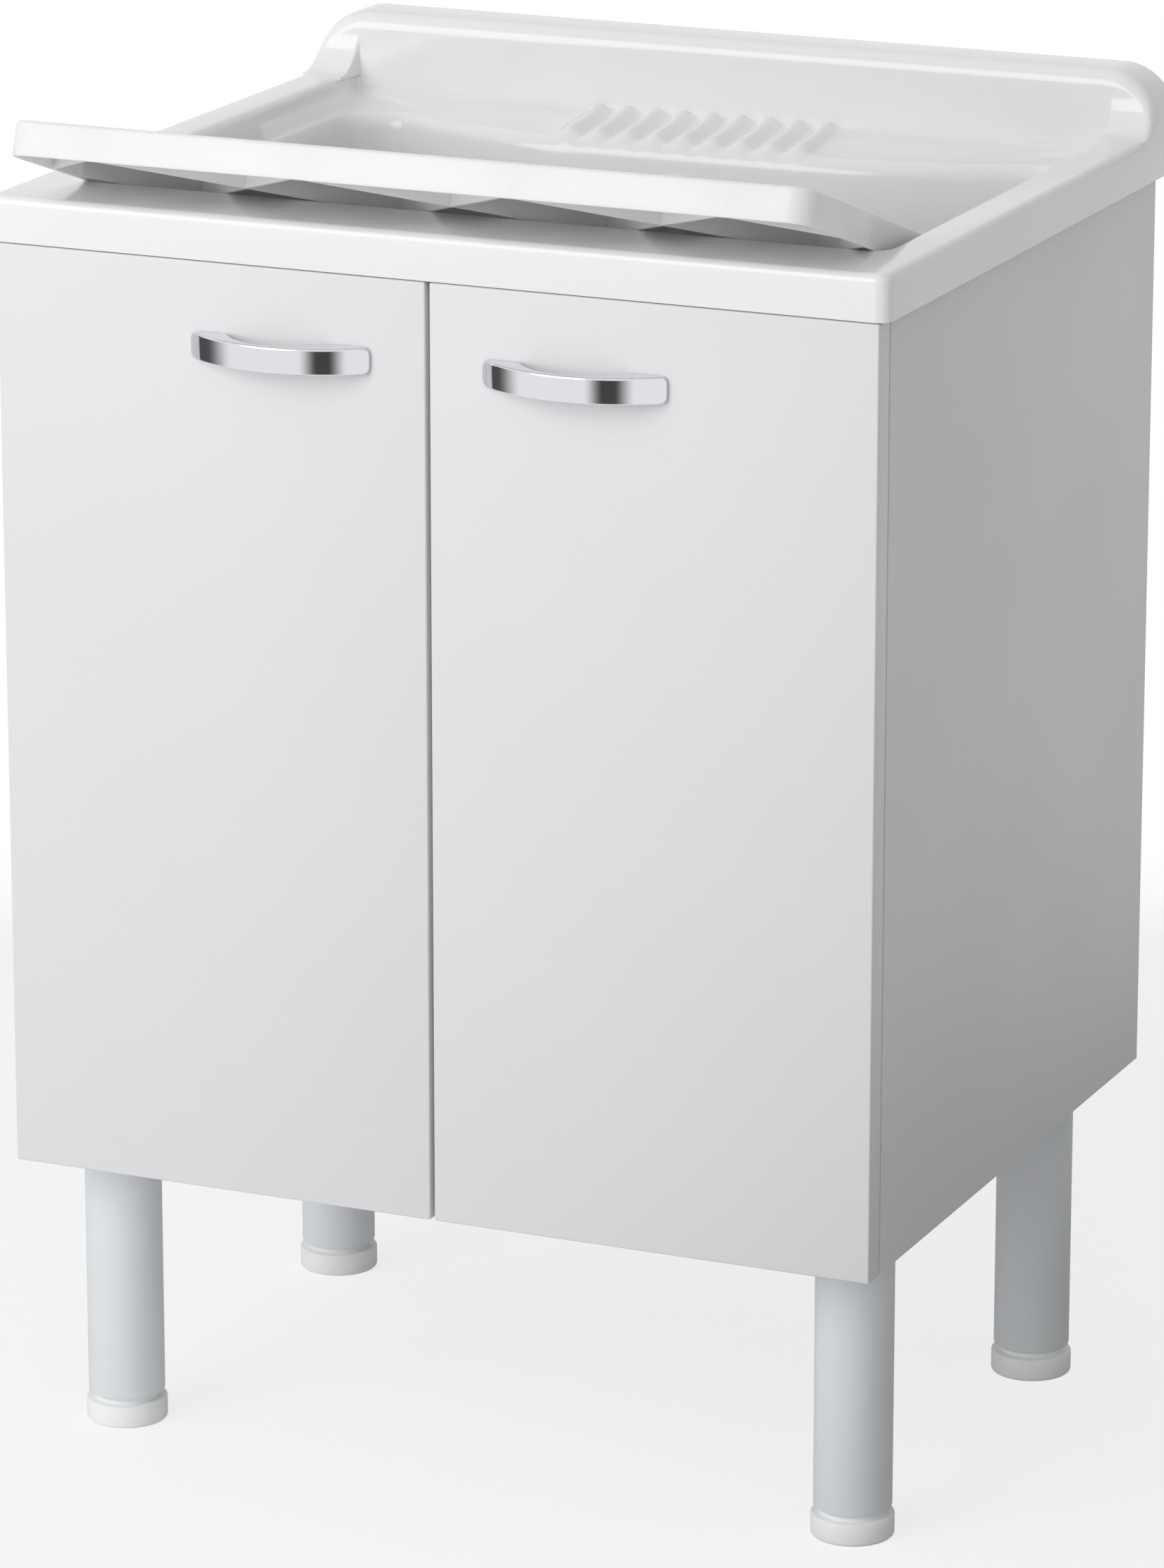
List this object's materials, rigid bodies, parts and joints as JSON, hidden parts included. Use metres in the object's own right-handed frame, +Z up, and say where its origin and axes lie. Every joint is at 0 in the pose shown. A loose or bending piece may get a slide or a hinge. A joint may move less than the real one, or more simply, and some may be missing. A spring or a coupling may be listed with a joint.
{
  "type": "laundry sink cabinet",
  "caption": "Laundry sink cabinet: moulded basin with backsplash and loose washboard on a white two-door cabinet with bow handles and levelling legs.",
  "frame": {"origin": "centre of the whole object's footprint, on the floor", "axes": "+Z up, front of the doors towards -Y, +X to the right seen from the front"},
  "size_m": [0.6, 0.5504, 0.8808],
  "materials": {
    "moulded_basin": "moulded acrylic resin, polished gloss",
    "washboard_resin": "moulded polypropylene, satin gloss",
    "white_board": "white melamine-faced chipboard, smooth satin",
    "chrome": "polished chrome plate",
    "hinge_nickel": "pressed steel, nickel plated",
    "leg_coating": "satin powder coat, light grey",
    "foot_resin": "moulded polyethylene, matt",
    "strainer_steel": "stamped stainless steel",
    "seal_rubber": "moulded rubber, matt",
    "trap_resin": "moulded polypropylene, white",
    "hose_resin": "extruded soft resin, light grey"
  },
  "bodies": {
    "cabinet": {"sink_basin": "moulded_basin", "left_side_panel": "white_board", "right_side_panel": "white_board", "bottom_panel": "white_board", "front_rail": "white_board", "upper_back_rail": "white_board", "lower_back_rail": "white_board", "left_lower_hinge_plate": "hinge_nickel", "left_lower_hinge_arm": "hinge_nickel", "left_upper_hinge_plate": "hinge_nickel", "left_upper_hinge_arm": "hinge_nickel", "right_lower_hinge_plate": "hinge_nickel", "right_lower_hinge_arm": "hinge_nickel", "right_upper_hinge_plate": "hinge_nickel", "right_upper_hinge_arm": "hinge_nickel", "front_left_leg_plate": "leg_coating", "front_left_leg": "leg_coating", "front_right_leg_plate": "leg_coating", "front_right_leg": "leg_coating", "rear_left_leg_plate": "leg_coating", "rear_left_leg": "leg_coating", "rear_right_leg_plate": "leg_coating", "rear_right_leg": "leg_coating", "waste_strainer": "strainer_steel", "waste_gasket": "seal_rubber", "waste_nut": "trap_resin", "waste_body": "trap_resin", "tail_pipe": "trap_resin", "tail_nut": "trap_resin", "trap_body": "trap_resin", "trap_cup": "trap_resin", "outlet_nut": "trap_resin", "outlet_pipe": "trap_resin", "overflow_rosette": "trap_resin", "overflow_elbow": "trap_resin", "overflow_hose": "hose_resin"},
    "left_leaf": {"left_door": "white_board", "left_handle": "chrome", "left_lower_hinge_cup": "hinge_nickel", "left_upper_hinge_cup": "hinge_nickel"},
    "right_leaf": {"right_door": "white_board", "right_handle": "chrome", "right_lower_hinge_cup": "hinge_nickel", "right_upper_hinge_cup": "hinge_nickel"},
    "loose_board": {"washboard": "washboard_resin"},
    "front_left_leveller": {"front_left_foot": "foot_resin"},
    "front_right_leveller": {"front_right_foot": "foot_resin"},
    "rear_left_leveller": {"rear_left_foot": "foot_resin"},
    "rear_right_leveller": {"rear_right_foot": "foot_resin"}
  },
  "joints": [
    {"name": "left_door_swing", "type": "hinge", "parent": "cabinet", "child": "left_leaf", "pos_m": [-0.289, -0.22419, 0.495], "axis": [0, 0, -1], "range_deg": [0, 105]},
    {"name": "right_door_swing", "type": "hinge", "parent": "cabinet", "child": "right_leaf", "pos_m": [0.289, -0.22419, 0.495], "axis": [0, 0, 1], "range_deg": [0, 105]},
    {"name": "washboard_lift", "type": "slide", "parent": "cabinet", "child": "loose_board", "axis": [0, 0, 1], "range_m": [0, 0.3]},
    {"name": "front_left_foot_travel", "type": "slide", "parent": "cabinet", "child": "front_left_leveller", "axis": [0, 0, -1], "range_m": [0, 0.015]},
    {"name": "front_right_foot_travel", "type": "slide", "parent": "cabinet", "child": "front_right_leveller", "axis": [0, 0, -1], "range_m": [0, 0.015]},
    {"name": "rear_left_foot_travel", "type": "slide", "parent": "cabinet", "child": "rear_left_leveller", "axis": [0, 0, -1], "range_m": [0, 0.015]},
    {"name": "rear_right_foot_travel", "type": "slide", "parent": "cabinet", "child": "rear_right_leveller", "axis": [0, 0, -1], "range_m": [0, 0.015]}
  ]
}
